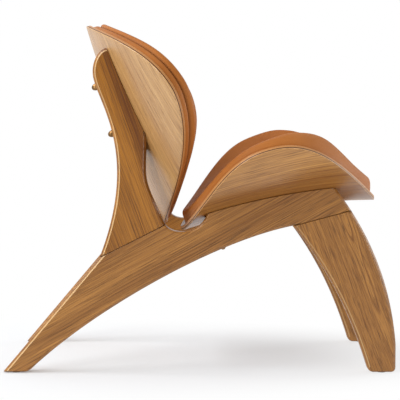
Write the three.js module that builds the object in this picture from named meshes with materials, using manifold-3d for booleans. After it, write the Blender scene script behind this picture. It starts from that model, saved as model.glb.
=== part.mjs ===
// Lounge chair: two moulded plywood shells with leather pads, carried between two solid wood side frames.
// Millimetres. X points forward, Y to the sitter's left and Z up, with the origin on the floor.
import * as THREE from 'three';
import { mergeVertices } from 'three/addons/utils/BufferGeometryUtils.js';
import Module from 'manifold-3d';

// Side frames, each glued up from a seat rail that runs into the rear leg, a back post and a front leg
const overallDepth = 826;
const frameOuterWidth = 400;
const frameThickness = 32;
const frameEdgeRound = 7;
const edgeRoundSteps = 2;
const rearFootLength = 53;
const frontFootLength = 57;
const footCornerRound = 10;
const legShinHeight = 59.5;
const glueGap = 0.3;
const outlineSteps = 8;
const cornerSteps = 3;

// Points of the side outline as [x, z]: the crotches, the rail's front end, the notch and the post
const rearCrotch = [-209.5, 243];
const frontCrotch = [196.6, 310.2];
const legJointFront = [315.5, 342.1];
const railFrontTop = [282.5, 390.8];
const railRearTop = [15.9, 336.1];
const notchCorner = [-71.5, 312.2];
const postContactLow = [-109.7, 498.7];
const postShoulder = [-221.6, 625.9];
const postTop = [-191, 679.6];

// Pull points of the outline's curves
const archPull = [[-227.5, 127.9], [29.8, 277.3]];
const legRearPull = [[239.5, 256], [305.5, 166]];
const legFrontPull = [[400.1, 213.4], [338.6, 318.2]];
const notchPull = [[5, 291.2], [-56.6, 288.2]];
const postFrontPull = [[-119.9, 416.5], [-113, 396.7]];
const postTopPull = [[-209, 680], [-223.8, 651.7]];
const postRearPull = [[-217, 570.4], [-120.4, 470.6]];

// Wood left above the outline, which the shells' undersides then cut away
const scribeAllowance = 40;
const scribeReach = 100;

// Plywood shells: an oval sheet with wings that turn up, more at one end than at the other, and a bowed spine
const shellThickness = 10;
const shellEdgeRound = 2;
const shellGap = 0.3;
const shellSides = 44;
const shellRings = [0.22, 0.44, 0.66, 0.87];

const seatRearFromRail = [-56.1, -51.1];
const seatTilt = 9;
const seatChord = 434;
const seatHalfWidth = 345;
const seatWidest = 201;
const seatWingRise = 137.9;
const seatWingHook = 0.264;
const seatWingGrowth = 0.176;
const seatSpineBow = 17.1;
const seatRearPower = 2.34;
const seatFrontPower = 2.34;
const seatSidePower = 1.677;

const backFootFromNotch = [-9.1, -13.7];
const backLean = 21.2;
const backChord = 469.8;
const backHalfWidth = 335;
const backWidest = 268.2;
const backWingRise = 145.8;
const backWingHook = 0;
const backWingGrowth = -0.34;
const backSpineBow = -9.8;
const backLowPower = 1.684;
const backTopPower = 2.25;
const backSidePower = 1.693;

// Pads: a leather cover, turned under at its hem, over foam on a thin backing board.
// Their thickness is given at even steps along the chord.
const padRings = [0.25, 0.5, 0.72, 0.9];
const padBoardRings = [0.4, 0.75, 1];
const seatPadDepths = [20, 20, 23, 26, 34, 50, 61, 42, 42];
const backPadDepths = [28, 40, 48, 48, 42, 37, 38, 35, 34];
const padCrown = 5;
const padRoll = 9;
const padSideInset = 3;
const padRollAngles = [90, 45, 0, -45, -90];
const foamRollAngles = [90, 45, 0];
const leatherThickness = 1.6;
const hemWidth = 40;
const padBoardThickness = 4;
const padBoardInset = 15;
const layerGap = 0.5;
const padRestGap = 1;
const hemGap = 1;
const seatPadRearInset = 3;
const seatPadFrontInset = 8;
const backPadLowInset = 24;
const backPadTopInset = 6;

// Dome-headed bolts through the frames into threaded inserts in the shells
const boltRadius = 3;
const boltHeadRadius = 7.3;
const boltHeadHeight = 11.5;
const boltCollarHeight = 2;
const boltHeadChamfer = 1;
const boltSides = 12;
const boltDomeSteps = 3;
const boltClearance = 0.4;
const boltSink = 1.5;
const seatBoltSink = 8;
const spotFaceMargin = 0.6;
const insertRadius = 5;
const insertSink = 1.8;
const insertSides = 12;
const insertRelief = 2;
const fitClearance = 0.3;
const backBoltHeights = [230.5, 331];
const seatBoltFromRear = 76;
const crossBoltSpread = 140;

// Cross rails between the frames, and the dowels that hold every joint
const crossRailThickness = 26;
const crossRailEdgeRound = 3;
const frontRailFromRear = 302;
const frontRailHeight = 70;
const rearRailX = -62;
const rearRailLowZ = 214;
const rearRailHeight = 48;
const dowelRadius = 4;
const dowelLength = 40;
const dowelSides = 10;
const dowelInFrame = 18;
const frontDowelDrops = [8, 55];
const rearDowelDrops = [12, 36];
const jointDowelRadius = 5;
const jointDowelLength = 44;
const jointDowelShares = [0.3, 0.7];

// Glides nailed under the feet
const glideRadius = 10;
const glideHeight = 2;
const glidePinRadius = 1.5;
const glidePinLength = 12;
const glideSides = 12;

// Limits below which points count as one and lines as parallel
const weldDistance = 1e-4;
const parallelLimit = 1e-9;

const wasm = await Module();
wasm.setup();

const frameMidY = (frameOuterWidth - frameThickness) / 2;
const frameInnerY = frameOuterWidth / 2 - frameThickness;
const heelX = -overallDepth / 2;
const toeX = overallDepth / 2;

const finishes = {
  frameWood: new THREE.MeshStandardMaterial({ color: 0x9c6b3f, roughness: 0.45, metalness: 0 }),
  shellPly: new THREE.MeshStandardMaterial({ color: 0xc79a63, roughness: 0.35, metalness: 0 }),
  leather: new THREE.MeshStandardMaterial({ color: 0xa9683a, roughness: 0.5, metalness: 0 }),
  foam: new THREE.MeshStandardMaterial({ color: 0xe8dcb0, roughness: 0.95, metalness: 0 }),
  board: new THREE.MeshStandardMaterial({ color: 0x8d7456, roughness: 0.8, metalness: 0 }),
  brass: new THREE.MeshStandardMaterial({ color: 0x8f7040, roughness: 0.3, metalness: 1 }),
  dowelWood: new THREE.MeshStandardMaterial({ color: 0xd2b48c, roughness: 0.7, metalness: 0 }),
  glide: new THREE.MeshStandardMaterial({ color: 0x2b2622, roughness: 0.6, metalness: 0 }),
};

const chair = new THREE.Group();

function addPiece(parent, name, geometry, finish) {
  const mesh = new THREE.Mesh(geometry, finish);
  mesh.name = name;
  parent.add(mesh);
  return mesh;
}

// Joining and cutting

function toSolid(geometry) {
  const bare = geometry.clone();
  bare.deleteAttribute('normal');
  bare.deleteAttribute('uv');
  const merged = mergeVertices(bare, weldDistance);
  return new wasm.Manifold(new wasm.Mesh({
    numProp: 3,
    vertProperties: new Float32Array(merged.attributes.position.array),
    triVerts: new Uint32Array(merged.index.array),
  }));
}

function toGeometry(solid) {
  const mesh = solid.getMesh();
  const geometry = new THREE.BufferGeometry();
  geometry.setAttribute('position', new THREE.BufferAttribute(mesh.vertProperties, 3));
  geometry.setIndex(new THREE.BufferAttribute(mesh.triVerts, 1));
  geometry.computeVertexNormals();
  return geometry;
}

function cut(solid, cutters) {
  return cutters.reduce((rest, cutter) => rest.subtract(cutter), solid);
}

function rodBetween(start, end, radius, sides) {
  const span = new THREE.Vector3().subVectors(end, start);
  const rod = new THREE.CylinderGeometry(radius, radius, span.length(), sides);
  const heading = span.clone().normalize();
  rod.applyQuaternion(new THREE.Quaternion().setFromUnitVectors(new THREE.Vector3(0, 1, 0), heading));
  rod.translate(start.x + span.x / 2, start.y + span.y / 2, start.z + span.z / 2);
  return rod;
}

// Closed body through rings of equal count, with a middle point at each end
function ringBody(startPole, rings, endPole) {
  const count = rings[0].length;
  const points = [startPole, ...rings.flat(), endPole];
  const last = points.length - 1;
  const at = (ring, i) => 1 + ring * count + (i % count);
  const faces = [];
  for (let i = 0; i < count; i += 1) {
    faces.push(0, at(0, i), at(0, i + 1));
    for (let ring = 0; ring < rings.length - 1; ring += 1) {
      const quad = [at(ring, i), at(ring + 1, i), at(ring + 1, i + 1), at(ring, i + 1)];
      faces.push(...splitQuad(quad, points));
    }
    faces.push(last, at(rings.length - 1, i + 1), at(rings.length - 1, i));
  }
  const geometry = new THREE.BufferGeometry();
  geometry.setAttribute('position', new THREE.Float32BufferAttribute(points.flatMap((p) => p.toArray()), 3));
  geometry.setIndex(faces);
  if (signedVolume(geometry) < 0) {
    turnInsideOut(geometry);
  }
  geometry.computeVertexNormals();
  return geometry;
}

// Two triangles over the quad's shorter diagonal, so that neighbouring layers fold alike
function splitQuad([a, b, c, d], points) {
  const straight = points[a].distanceTo(points[c]) <= points[b].distanceTo(points[d]);
  return straight ? [a, b, c, a, c, d] : [a, b, d, b, c, d];
}

function signedVolume(geometry) {
  const place = geometry.attributes.position;
  const corner = [new THREE.Vector3(), new THREE.Vector3(), new THREE.Vector3()];
  let volume = 0;
  for (let i = 0; i < geometry.index.count; i += 3) {
    corner.forEach((point, k) => point.fromBufferAttribute(place, geometry.index.getX(i + k)));
    volume += corner[0].dot(corner[1].clone().cross(corner[2])) / 6;
  }
  return volume;
}

function turnInsideOut(geometry) {
  const faces = geometry.index.array;
  for (let i = 0; i < faces.length; i += 3) {
    const first = faces[i];
    faces[i] = faces[i + 1];
    faces[i + 1] = first;
  }
}

// Shell surfaces. s runs along the chord, y across, and h is the height over the outer face.

// Point of the side plane, moved by an offset
function offsetPoint(point, offset) {
  return new THREE.Vector3(point[0] + offset[0], 0, point[1] + offset[1]);
}

function makeForm(sizes) {
  const angle = THREE.MathUtils.degToRad(sizes.chordAngle);
  const along = new THREE.Vector3(Math.cos(angle), 0, Math.sin(angle));
  const out = new THREE.Vector3(-Math.sin(angle), 0, Math.cos(angle)).multiplyScalar(sizes.sitterSide);
  return { ...sizes, along, out };
}

const seatForm = makeForm({
  start: offsetPoint(railRearTop, seatRearFromRail), chordAngle: seatTilt, sitterSide: 1, chord: seatChord,
  halfWidth: seatHalfWidth, widest: seatWidest, wingRise: seatWingRise, wingHook: seatWingHook,
  wingGrowth: seatWingGrowth, spineBow: seatSpineBow,
  startPower: seatRearPower, endPower: seatFrontPower, sidePower: seatSidePower,
});

const backForm = makeForm({
  start: offsetPoint(notchCorner, backFootFromNotch), chordAngle: 90 + backLean, sitterSide: -1,
  chord: backChord, halfWidth: backHalfWidth, widest: backWidest, wingRise: backWingRise,
  wingHook: backWingHook, wingGrowth: backWingGrowth, spineBow: backSpineBow,
  startPower: backLowPower, endPower: backTopPower, sidePower: backSidePower,
});

// Share of the wings' rise at y, and how much of it this place along the chord has
function wingAt(form, s, y) {
  const reach = y / form.halfWidth;
  return {
    share: (1 - form.wingHook) * reach ** 2 + form.wingHook * reach ** 4,
    slope: (2 * (1 - form.wingHook) * reach + 4 * form.wingHook * reach ** 3) / form.halfWidth,
    growth: 1 + form.wingGrowth * ((2 * s) / form.chord - 1),
  };
}

function lift(form, s, y) {
  const t = s / form.chord;
  const wing = wingAt(form, s, y);
  return 4 * form.spineBow * t * (1 - t) + form.wingRise * wing.share * wing.growth;
}

function slopes(form, s, y) {
  const wing = wingAt(form, s, y);
  const bowing = 4 * form.spineBow * (1 - (2 * s) / form.chord);
  return {
    lengthwise: (bowing + 2 * form.wingRise * form.wingGrowth * wing.share) / form.chord,
    across: form.wingRise * wing.slope * wing.growth,
  };
}

function shellPoint(form, s, y, h) {
  const slope = slopes(form, s, y);
  const rise = h / Math.hypot(1, slope.lengthwise, slope.across);
  const alongBy = s - slope.lengthwise * rise;
  const outBy = lift(form, s, y) + rise;
  return new THREE.Vector3(0, y - slope.across * rise, 0)
    .add(form.start)
    .addScaledVector(form.along, alongBy)
    .addScaledVector(form.out, outBy);
}

// Oval plan of a shell or pad: one end, the widest place, the other end
function planOf(form, startInset, endInset, sideInset) {
  const points = [];
  for (let i = 0; i < shellSides; i += 1) {
    const turn = (2 * Math.PI * i) / shellSides;
    const run = Math.cos(turn);
    const half = run > 0 ? form.chord - endInset - form.widest : form.widest - startInset;
    const power = run > 0 ? form.endPower : form.startPower;
    const share = Math.max(0, 1 - Math.abs(run) ** power) ** (1 / form.sidePower);
    const y = Math.sign(Math.sin(turn)) * (form.halfWidth - sideInset) * share;
    points.push({ s: half * run, y, reach: Math.hypot(half * run, y) });
  }
  return points;
}

// Places of the scaled plan, with an inset taken off its reach
function planPlaces(form, plan, share, inset) {
  return plan.map((point) => {
    const scale = share * (1 - inset / point.reach);
    return { s: form.widest + point.s * scale, y: point.y * scale };
  });
}

function planRing(form, plan, share, inset, height) {
  return planPlaces(form, plan, share, inset).map(({ s, y }) => shellPoint(form, s, y, height));
}

function shellBody(form, low, high, edge) {
  const plan = planOf(form, 0, 0, 0);
  const face = (height) => shellRings.map((share) => planRing(form, plan, share, edge, height));
  const rings = [
    ...face(low),
    planRing(form, plan, 1, edge, low),
    planRing(form, plan, 1, 0, low + edge),
    planRing(form, plan, 1, 0, high - edge),
    planRing(form, plan, 1, edge, high),
    ...face(high).reverse(),
  ];
  return ringBody(shellPoint(form, form.widest, 0, low), rings, shellPoint(form, form.widest, 0, high));
}

// What the shell's outer face takes off the wood under it
function scribeCutter(form) {
  return shellBody(form, -shellGap, scribeReach, shellEdgeRound);
}

// Pads, built up from the shell's sitter side. A layer has its underside's height, its face's depth
// under the pad's face and its edge's inset from the pad's edge.

const padLow = shellThickness + padRestGap;
const boardLow = padLow + leatherThickness + hemGap;
const skinDepth = leatherThickness + layerGap;
const coverOutside = { low: padLow, depth: 0, inset: 0 };
const coverInside = { low: padLow + leatherThickness, depth: leatherThickness, inset: leatherThickness };
const foamLayer = { low: padLow + skinDepth, depth: skinDepth, inset: skinDepth };

// Thickness at a share of the chord, on a smooth curve through the steps
function padThickness(depths, share) {
  const last = depths.length - 1;
  const place = THREE.MathUtils.clamp(share, 0, 1) * last;
  const step = Math.min(Math.floor(place), last - 1);
  const at = (i) => depths[THREE.MathUtils.clamp(i, 0, last)];
  const u = place - step;
  const rise = at(step + 1) - at(step);
  const leave = (at(step + 1) - at(step - 1)) / 2;
  const arrive = (at(step + 2) - at(step)) / 2;
  return at(step) + u * (leave + u * (3 * rise - 2 * leave - arrive + u * (leave + arrive - 2 * rise)));
}

// Height in a layer at s. The level runs from 0 at its underside to 1 at its face.
function layerHeight(pad, s, layer, level) {
  const face = padLow + padThickness(pad.depths, s / pad.form.chord) - layer.depth;
  return layer.low + (face - layer.low) * level;
}

function padRing(pad, share, inset, layer, level) {
  const crown = level === 1 ? padCrown * (1 - share ** 2) : 0;
  return planPlaces(pad.form, pad.plan, share, inset).map(({ s, y }) => (
    shellPoint(pad.form, s, y, layerHeight(pad, s, layer, level) + crown)
  ));
}

function padSurface(pad, layer) {
  return padRings.map((share) => padRing(pad, share, layer.inset + padRoll, layer, 1));
}

function padMiddle(pad, layer) {
  const s = pad.form.widest;
  return shellPoint(pad.form, s, 0, layerHeight(pad, s, layer, 1) + padCrown);
}

function rollRings(pad, layer, angles) {
  return angles.map((angle) => {
    const turn = THREE.MathUtils.degToRad(angle);
    const inset = layer.inset + padRoll * (1 - Math.cos(turn));
    return padRing(pad, 1, inset, layer, (1 + Math.sin(turn)) / 2);
  });
}

function padCover(pad) {
  const rings = [
    ...padSurface(pad, coverOutside),
    ...rollRings(pad, coverOutside, padRollAngles),
    planRing(pad.form, pad.plan, 1, hemWidth, coverOutside.low),
    planRing(pad.form, pad.plan, 1, hemWidth, coverInside.low),
    ...rollRings(pad, coverInside, padRollAngles).reverse(),
    ...padSurface(pad, coverInside).reverse(),
  ];
  return ringBody(padMiddle(pad, coverOutside), rings, padMiddle(pad, coverInside));
}

function padFoam(pad) {
  const { form, plan } = pad;
  const low = boardLow + padBoardThickness + layerGap;
  const rings = [
    ...padSurface(pad, foamLayer),
    ...rollRings(pad, foamLayer, foamRollAngles),
    planRing(form, plan, 1, skinDepth + padRoll / 2, low),
    ...boardFace(form, plan, low).reverse(),
  ];
  return ringBody(padMiddle(pad, foamLayer), rings, shellPoint(form, form.widest, 0, low));
}

function boardFace(form, plan, height) {
  return padBoardRings.map((share) => planRing(form, plan, share, padBoardInset, height));
}

function padBoard({ form, plan }) {
  const high = boardLow + padBoardThickness;
  const rings = [...boardFace(form, plan, boardLow), ...boardFace(form, plan, high).reverse()];
  return ringBody(shellPoint(form, form.widest, 0, boardLow), rings, shellPoint(form, form.widest, 0, high));
}

// Side outline, drawn round from the heel

function sideOutline() {
  const shape = new THREE.Shape();
  const floor = glideHeight;
  const curve = (pull, end) => shape.bezierCurveTo(...pull[0], ...pull[1], ...end);
  const rise = new THREE.Vector2(railFrontTop[0] - railRearTop[0], railFrontTop[1] - railRearTop[1]);
  const railLift = new THREE.Vector2(-rise.y, rise.x).setLength(scribeAllowance);
  shape.moveTo(heelX, floor);
  shape.lineTo(heelX + rearFootLength - footCornerRound, floor);
  const rearFootInside = [heelX + rearFootLength, floor];
  const frontFootInside = [toeX - frontFootLength, floor];
  shape.quadraticCurveTo(...rearFootInside, ...footPoint(rearFootInside, archPull[0]));
  curve(archPull, frontCrotch);
  curve(legRearPull, footPoint(frontFootInside, legRearPull[1]));
  shape.quadraticCurveTo(...frontFootInside, frontFootInside[0] + footCornerRound, floor);
  shape.lineTo(toeX - footCornerRound, floor);
  shape.quadraticCurveTo(toeX, floor, toeX, floor + footCornerRound);
  shape.lineTo(toeX, legShinHeight);
  curve(legFrontPull, railFrontTop);
  shape.lineTo(railFrontTop[0] + railLift.x, railFrontTop[1] + railLift.y);
  shape.lineTo(railRearTop[0] - railLift.x, railRearTop[1] + railLift.y);
  shape.lineTo(...railRearTop);
  curve(notchPull, notchCorner);
  curve(postFrontPull, postContactLow);
  shape.lineTo(postContactLow[0], postTop[1]);
  shape.lineTo(...postTop);
  curve(postTopPull, postShoulder);
  curve(postRearPull, rearCrotch);
  shape.closePath();
  return shape;
}

// Point one corner radius away from a corner, towards another point
function footPoint(corner, towards) {
  const run = new THREE.Vector2(towards[0] - corner[0], towards[1] - corner[1]).setLength(footCornerRound);
  return [corner[0] + run.x, corner[1] + run.y];
}

// Corners of a drawn shape, with more of them on its long curves than on its corner rounds
function sampled(shape) {
  return shape.curves.flatMap((curve) => {
    const steps = curve.isCubicBezierCurve ? outlineSteps : cornerSteps;
    return curve.getPoints(curve.isLineCurve ? 1 : steps).slice(0, -1);
  });
}

const outlinePoints = sampled(sideOutline());

// Upright slab with a side outline, its middle on the XZ plane
function uprightSlab(points, thickness, round) {
  const slab = new THREE.ExtrudeGeometry(new THREE.Shape(points), {
    depth: thickness - 2 * round,
    bevelEnabled: round > 0,
    bevelThickness: round,
    bevelSize: round,
    bevelOffset: -round,
    bevelSegments: edgeRoundSteps,
  });
  slab.translate(0, 0, -(thickness - 2 * round) / 2);
  slab.rotateX(Math.PI / 2);
  return slab;
}

// Half plane beside a joint line, as a slab that is thicker than the frame
function besideLine(from, to, away, limitX) {
  const reach = overallDepth;
  const run = new THREE.Vector2(to[0] - from[0], to[1] - from[1]).normalize();
  const side = new THREE.Vector2(-run.y, run.x).multiplyScalar(away);
  const base = new THREE.Vector2(...from).addScaledVector(side, glueGap / 2);
  const low = base.clone().addScaledVector(run, -reach);
  const high = base.clone().addScaledVector(run, reach);
  const across = side.clone().multiplyScalar(reach);
  const half = [low, high, high.clone().add(across), low.clone().add(across)];
  const keep = [[0, -1], [1, -1], [1, 2], [0, 2]].map(([end, up]) => (
    new THREE.Vector2(limitX[end], up * reach)
  ));
  const slabs = [half, keep].map((corners) => toSolid(uprightSlab(corners, 2 * frameThickness, 0)));
  return slabs[0].intersect(slabs[1]);
}

// Where a line inside the outline, walked from a point, leaves it
function outlineExit(from, direction) {
  let nearest = Infinity;
  outlinePoints.forEach((start, i) => {
    const end = outlinePoints[(i + 1) % outlinePoints.length];
    const edge = { x: end.x - start.x, z: end.y - start.y };
    const cross = direction.x * edge.z - direction.z * edge.x;
    if (Math.abs(cross) > parallelLimit) {
      const gap = { x: start.x - from.x, z: start.y - from.z };
      const distance = (gap.x * edge.z - gap.z * edge.x) / cross;
      const share = (gap.x * direction.z - gap.z * direction.x) / cross;
      if (share >= 0 && share <= 1 && distance > frameEdgeRound) {
        nearest = Math.min(nearest, distance);
      }
    }
  });
  return nearest;
}

// Bolts. Each starts at the middle of its shell and runs square to the shell's spine, out through the wood.

function boltPlace(form, s, y, sink, gripOf) {
  const slope = slopes(form, s, y);
  const inward = form.out.clone().addScaledVector(form.along, -slope.lengthwise).normalize();
  const contact = shellPoint(form, s, y, 0);
  const outward = inward.clone().negate();
  const grip = gripOf(contact, outward) - sink;
  const tilt = Math.hypot(1, slope.across);
  return {
    contact, inward, outward,
    seat: contact.clone().addScaledVector(outward, grip),
    middle: contact.clone().addScaledVector(inward, (shellThickness / 2) * tilt),
    grip: grip + (shellThickness / 2) * tilt,
  };
}

function frameBolt(form, s, side, sink) {
  return boltPlace(form, s, side * frameMidY, sink, outlineExit);
}

function boltGeometry(length) {
  const dome = [];
  for (let i = 0; i <= boltDomeSteps; i += 1) {
    const turn = (Math.PI / 2) * (i / boltDomeSteps);
    const height = boltCollarHeight + (boltHeadHeight - boltCollarHeight) * Math.sin(turn);
    dome.push(new THREE.Vector2(i === boltDomeSteps ? 0 : boltHeadRadius * Math.cos(turn), -height));
  }
  const profile = [
    new THREE.Vector2(0, length),
    new THREE.Vector2(boltRadius, length),
    new THREE.Vector2(boltRadius, 0),
    new THREE.Vector2(boltHeadRadius - boltHeadChamfer, 0),
    ...dome,
  ];
  return new THREE.LatheGeometry(profile.reverse(), boltSides);
}

function insertGeometry() {
  const half = shellThickness / 2 - insertSink;
  const bore = boltRadius + fitClearance;
  const profile = [[bore, -half], [insertRadius, -half], [insertRadius, half], [bore, half], [bore, -half]];
  return new THREE.LatheGeometry(profile.map((point) => new THREE.Vector2(...point)), insertSides);
}

function pointAlong(mesh, direction, place) {
  mesh.quaternion.setFromUnitVectors(new THREE.Vector3(0, 1, 0), direction);
  mesh.position.copy(place);
}

// Hole for the shank, with a spot face for the head and a relief round the mouth of the insert
function boltHole(place) {
  const end = place.seat.clone().addScaledVector(place.outward, scribeAllowance);
  const mouth = place.contact.clone().addScaledVector(place.outward, insertRelief);
  const shank = rodBetween(place.middle, end, boltRadius + boltClearance, boltSides);
  const facing = rodBetween(place.seat, end, boltHeadRadius + spotFaceMargin, boltSides);
  const relief = rodBetween(place.middle, mouth, insertRadius + fitClearance, insertSides);
  return toSolid(shank).add(toSolid(facing)).add(toSolid(relief));
}

function insertHole(place) {
  const start = place.middle.clone().addScaledVector(place.inward, -2 * shellThickness);
  const end = place.middle.clone().addScaledVector(place.inward, 2 * shellThickness);
  return toSolid(rodBetween(start, end, insertRadius + fitClearance, insertSides));
}

// Dowels, given as their two ends

function dowelHole(ends, radius) {
  return toSolid(rodBetween(ends[0], ends[1], radius + fitClearance, dowelSides));
}

function lengthened(ends) {
  const run = new THREE.Vector3().subVectors(ends[1], ends[0]).normalize();
  return [
    ends[0].clone().addScaledVector(run, -fitClearance),
    ends[1].clone().addScaledVector(run, fitClearance),
  ];
}

function jointDowels(from, to, y) {
  const run = new THREE.Vector3(to[0] - from[0], 0, to[1] - from[1]);
  const square = new THREE.Vector3(-run.z, 0, run.x).normalize();
  return jointDowelShares.map((share) => {
    const middle = new THREE.Vector3(from[0], y, from[1]).addScaledVector(run, share);
    return [-0.5, 0.5].map((end) => middle.clone().addScaledVector(square, end * jointDowelLength));
  });
}

function crossDowels(places, side) {
  const outerY = side * (frameInnerY + dowelInFrame);
  const innerY = outerY - side * dowelLength;
  return places.map((place) => [
    new THREE.Vector3(place.x, innerY, place.z),
    new THREE.Vector3(place.x, outerY, place.z),
  ]);
}

// Cross rail positions in the side plane
const frontRailTop = lift(seatForm, frontRailFromRear, 0) - shellGap;
const frontRailDowelPlaces = frontDowelDrops.map((drop) => seatForm.start.clone()
  .addScaledVector(seatForm.along, frontRailFromRear)
  .addScaledVector(seatForm.out, frontRailTop - drop));
const rearRailDowelPlaces = rearDowelDrops.map((drop) => (
  new THREE.Vector3(rearRailX, 0, rearRailLowZ + rearRailHeight - drop)
));

const seatCutter = toSolid(scribeCutter(seatForm));
const backCutter = toSolid(scribeCutter(backForm));
const sides = [{ name: 'left', sign: 1 }, { name: 'right', sign: -1 }];

// Bolts of each side and of the front cross rail
const sideBolts = sides.map(({ sign }) => ({
  back: backBoltHeights.map((height) => frameBolt(backForm, height, sign, boltSink)),
  seat: [frameBolt(seatForm, seatBoltFromRear, sign, seatBoltSink)],
}));
const crossBolts = sides.map(({ sign }) => (
  boltPlace(seatForm, frontRailFromRear, (sign * crossBoltSpread) / 2, boltSink, (contact) => (
    frontRailHeight + lift(seatForm, frontRailFromRear, contact.y) - lift(seatForm, frontRailFromRear, 0)
  ))
));

// Side frames

function addSideFrame({ name, sign }, bolts) {
  const group = new THREE.Group();
  chair.add(group);
  const middleY = sign * frameMidY;
  group.position.y = middleY;
  const moved = (solid) => solid.translate([0, -middleY, 0]);
  const blank = toSolid(uprightSlab(outlinePoints, frameThickness, frameEdgeRound));
  const postJoint = [rearCrotch, notchCorner];
  const legJoint = [frontCrotch, legJointFront];
  const postX = [heelX, (notchCorner[0] + railRearTop[0]) / 2];
  const legX = [frontCrotch[0] - 2 * frameEdgeRound, 2 * toeX];
  const postDowels = jointDowels(...postJoint, middleY);
  const legDowels = jointDowels(...legJoint, middleY);
  const railDowels = crossDowels([...frontRailDowelPlaces, ...rearRailDowelPlaces], sign);
  const holes = (dowels, radius) => dowels.map((ends) => moved(dowelHole(lengthened(ends), radius)));
  const glueHoles = holes([...postDowels, ...legDowels], jointDowelRadius);
  const crossHoles = holes(railDowels, dowelRadius);
  const backHoles = bolts.back.map((place) => moved(boltHole(place)));
  const seatHoles = bolts.seat.map((place) => moved(boltHole(place)));
  const glideHoles = glidePlaces(sign).map((place) => moved(glideHole(place)));

  const post = blank.intersect(besideLine(...postJoint, 1, postX));
  const leg = blank.intersect(besideLine(...legJoint, -1, legX));
  const rail = cut(blank, [besideLineOver(postJoint, 1, postX), besideLineOver(legJoint, -1, legX)]);
  const postCuts = [moved(backCutter), ...glueHoles, ...backHoles];
  const railCuts = [moved(seatCutter), ...glueHoles, ...crossHoles, ...seatHoles, glideHoles[0]];
  addPiece(group, `back_post_${name}`, toGeometry(cut(post, postCuts)), finishes.frameWood);
  addPiece(group, `seat_rail_${name}`, toGeometry(cut(rail, railCuts)), finishes.frameWood);
  const legCuts = [...glueHoles, ...crossHoles, glideHoles[1]];
  addPiece(group, `front_leg_${name}`, toGeometry(cut(leg, legCuts)), finishes.frameWood);
  addDowels(postDowels, `post_dowel_${name}`, jointDowelRadius);
  addDowels(legDowels, `leg_dowel_${name}`, jointDowelRadius);
  addDowels(railDowels, `cross_rail_dowel_${name}`, dowelRadius);
}

// The neighbour's half plane, which takes its half of the glue gap off the rail
function besideLineOver(joint, away, limitX) {
  const shift = jointShift(joint, -away * glueGap);
  const moved = joint.map((point) => [point[0] + shift.x, point[1] + shift.y]);
  return besideLine(...moved, away, limitX);
}

function jointShift(joint, distance) {
  const run = new THREE.Vector2(joint[1][0] - joint[0][0], joint[1][1] - joint[0][1]);
  return new THREE.Vector2(-run.y, run.x).setLength(1).multiplyScalar(distance);
}

function addDowels(dowels, name, radius) {
  dowels.forEach((ends, i) => {
    const round = new THREE.CylinderGeometry(radius, radius, ends[0].distanceTo(ends[1]), dowelSides);
    const peg = addPiece(chair, `${name}_${i + 1}`, round, finishes.dowelWood);
    const run = new THREE.Vector3().subVectors(ends[1], ends[0]).normalize();
    pointAlong(peg, run, ends[0].clone().add(ends[1]).multiplyScalar(0.5));
  });
}

// Glides

function glidePlaces(sign) {
  const rearX = heelX + rearFootLength / 2;
  const frontX = toeX - frontFootLength / 2;
  return [rearX, frontX].map((x) => new THREE.Vector3(x, sign * frameMidY, 0));
}

function glideHole(place) {
  const top = place.clone().setZ(glideHeight + glidePinLength + fitClearance);
  return toSolid(rodBetween(place, top, glidePinRadius + fitClearance, dowelSides));
}

function glideGeometry() {
  const under = glideHeight - fitClearance;
  const top = glideHeight + glidePinLength;
  const profile = [
    [0, 0], [glideRadius, 0], [glideRadius, under], [glidePinRadius, under], [glidePinRadius, top], [0, top],
  ];
  const turned = new THREE.LatheGeometry(profile.map((point) => new THREE.Vector2(...point)), glideSides);
  turned.rotateX(Math.PI / 2);
  return turned;
}

function addGlides({ name, sign }) {
  glidePlaces(sign).forEach((place, i) => {
    const glide = addPiece(chair, `${['rear', 'front'][i]}_glide_${name}`, glideGeometry(), finishes.glide);
    glide.position.copy(place);
  });
}

// Cross rails

function crossRailBlank(height) {
  const length = 2 * (frameInnerY - glueGap);
  const shape = new THREE.Shape();
  const half = crossRailThickness / 2;
  shape.moveTo(-half + crossRailEdgeRound, 0);
  shape.lineTo(half - crossRailEdgeRound, 0);
  shape.quadraticCurveTo(half, 0, half, crossRailEdgeRound);
  shape.lineTo(half, height - crossRailEdgeRound);
  shape.quadraticCurveTo(half, height, half - crossRailEdgeRound, height);
  shape.lineTo(-half + crossRailEdgeRound, height);
  shape.quadraticCurveTo(-half, height, -half, height - crossRailEdgeRound);
  shape.lineTo(-half, crossRailEdgeRound);
  shape.quadraticCurveTo(-half, 0, -half + crossRailEdgeRound, 0);
  return uprightSlab(sampled(shape), length, 0);
}

function crossRailDowelHoles(places) {
  return sides.flatMap(({ sign }) => (
    crossDowels(places, sign).map((ends) => dowelHole(lengthened(ends), dowelRadius))
  ));
}

function addCrossRails() {
  const wingLift = lift(seatForm, frontRailFromRear, frameInnerY) - frontRailTop;
  const front = crossRailBlank(frontRailHeight + wingLift + crossRailThickness);
  front.rotateY(-THREE.MathUtils.degToRad(seatTilt));
  const foot = seatForm.start.clone()
    .addScaledVector(seatForm.along, frontRailFromRear)
    .addScaledVector(seatForm.out, frontRailTop - frontRailHeight);
  front.translate(foot.x, foot.y, foot.z);
  const frontCuts = [seatCutter, ...crossRailDowelHoles(frontRailDowelPlaces), ...crossBolts.map(boltHole)];
  addPiece(chair, 'front_cross_rail', toGeometry(cut(toSolid(front), frontCuts)), finishes.frameWood);
  const rear = crossRailBlank(rearRailHeight);
  rear.translate(rearRailX, 0, rearRailLowZ);
  const rearSolid = cut(toSolid(rear), crossRailDowelHoles(rearRailDowelPlaces));
  addPiece(chair, 'rear_cross_rail', toGeometry(rearSolid), finishes.frameWood);
}

// Shells, pads and fasteners

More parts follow.
